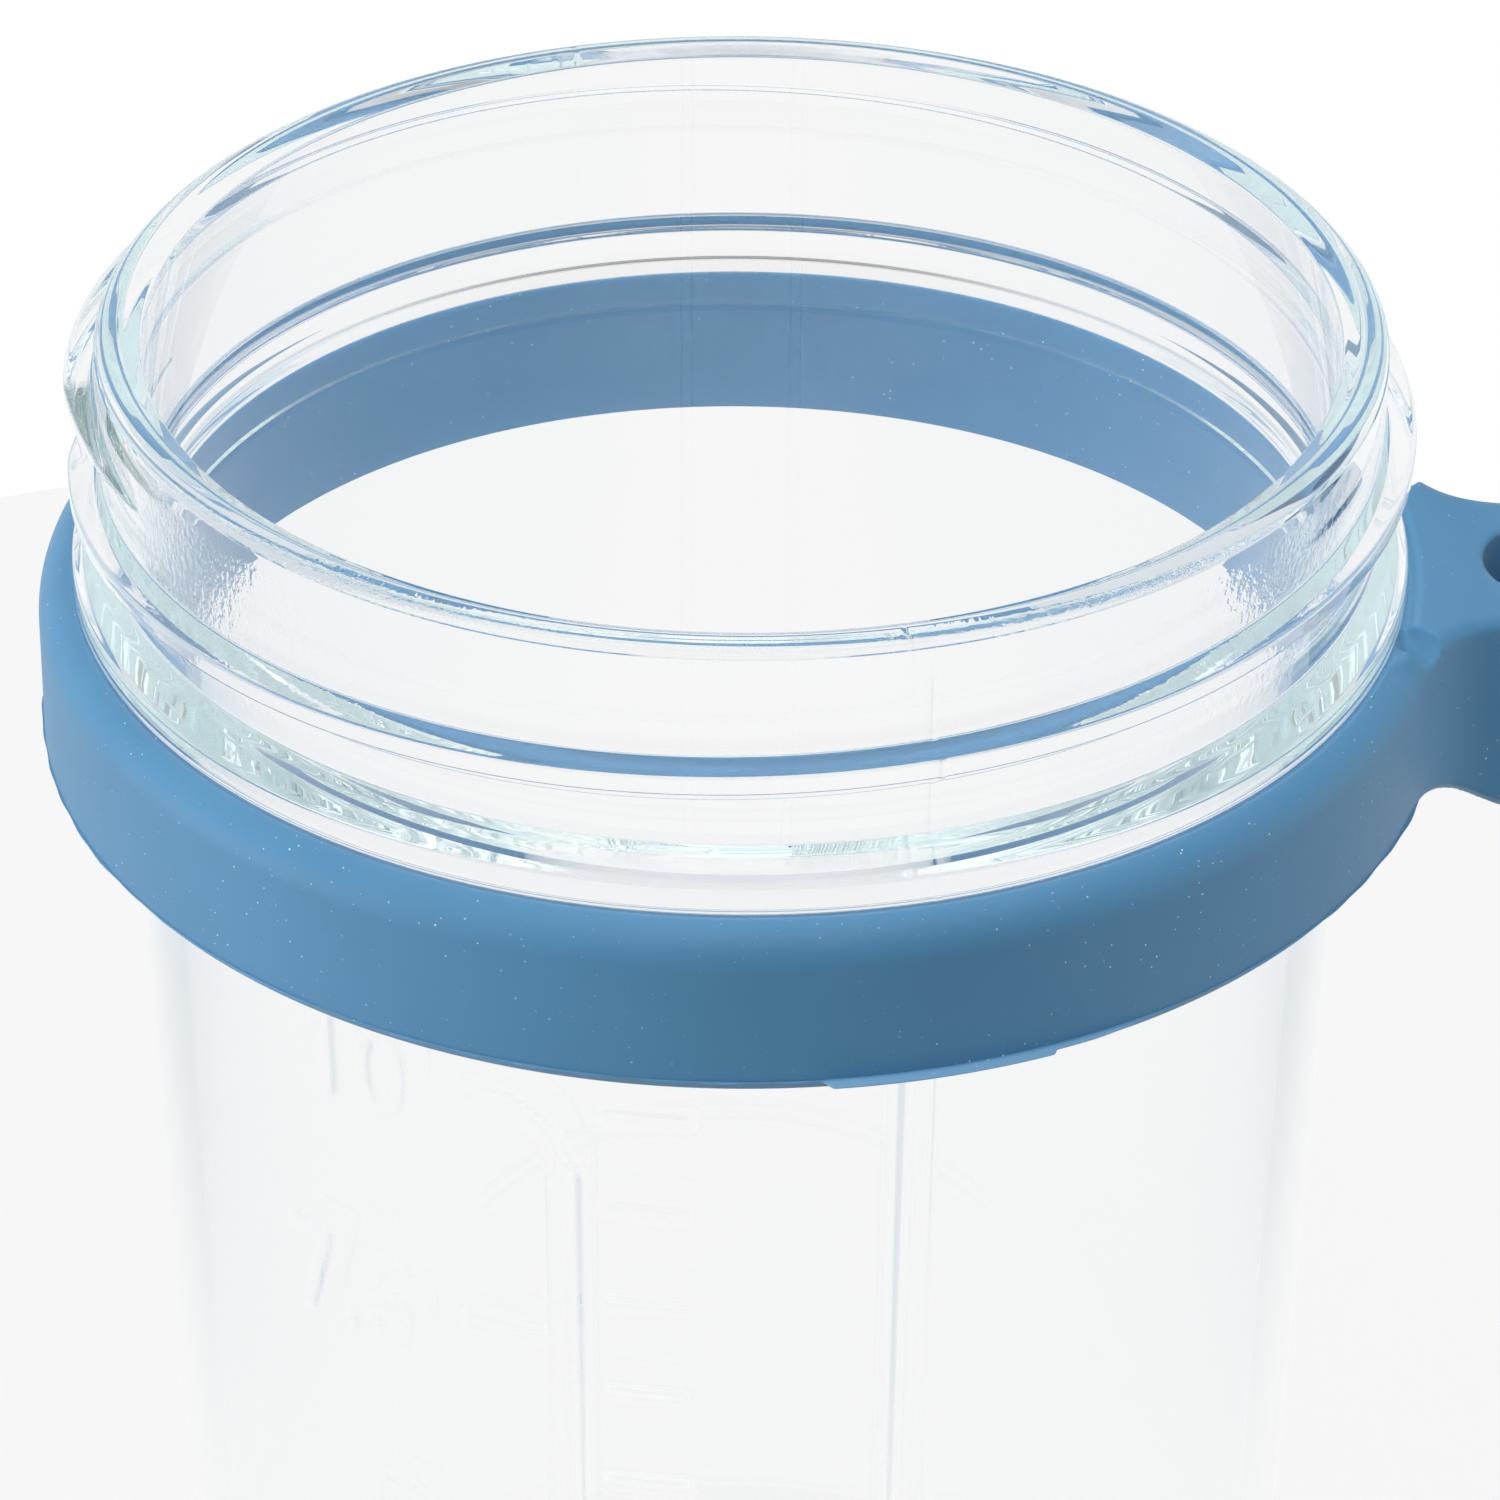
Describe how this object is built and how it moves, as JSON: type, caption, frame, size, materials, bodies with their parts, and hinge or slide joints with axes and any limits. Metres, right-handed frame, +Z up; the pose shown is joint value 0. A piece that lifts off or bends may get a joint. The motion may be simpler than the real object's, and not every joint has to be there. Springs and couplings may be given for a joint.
{
  "type": "overnight oats jar",
  "caption": "Wide-mouth clear glass jar with a screw neck, measuring bars in relief and a soft blue neck band that turns and carries an upright spoon sleeve.",
  "frame": {"origin": "centre of the flat base, on the surface the jar stands on", "axes": "+Z up along the jar's axis, +X towards the spoon sleeve, -Y towards the front with the measuring bars"},
  "size_m": [0.1056, 0.0906, 0.127],
  "materials": {
    "clear_glass": "clear pressed soda-lime glass, faintly green in thick edges",
    "blue_silicone": "matte moulded silicone rubber"
  },
  "bodies": {
    "jar": {"glass_jar": "clear_glass"},
    "band": {"spoon_band": "blue_silicone"}
  },
  "joints": [
    {"name": "band_turn", "type": "hinge", "parent": "jar", "child": "band", "pos_m": [0, 0, 0.1044], "axis": [0, 0, 1], "continuous": true}
  ]
}
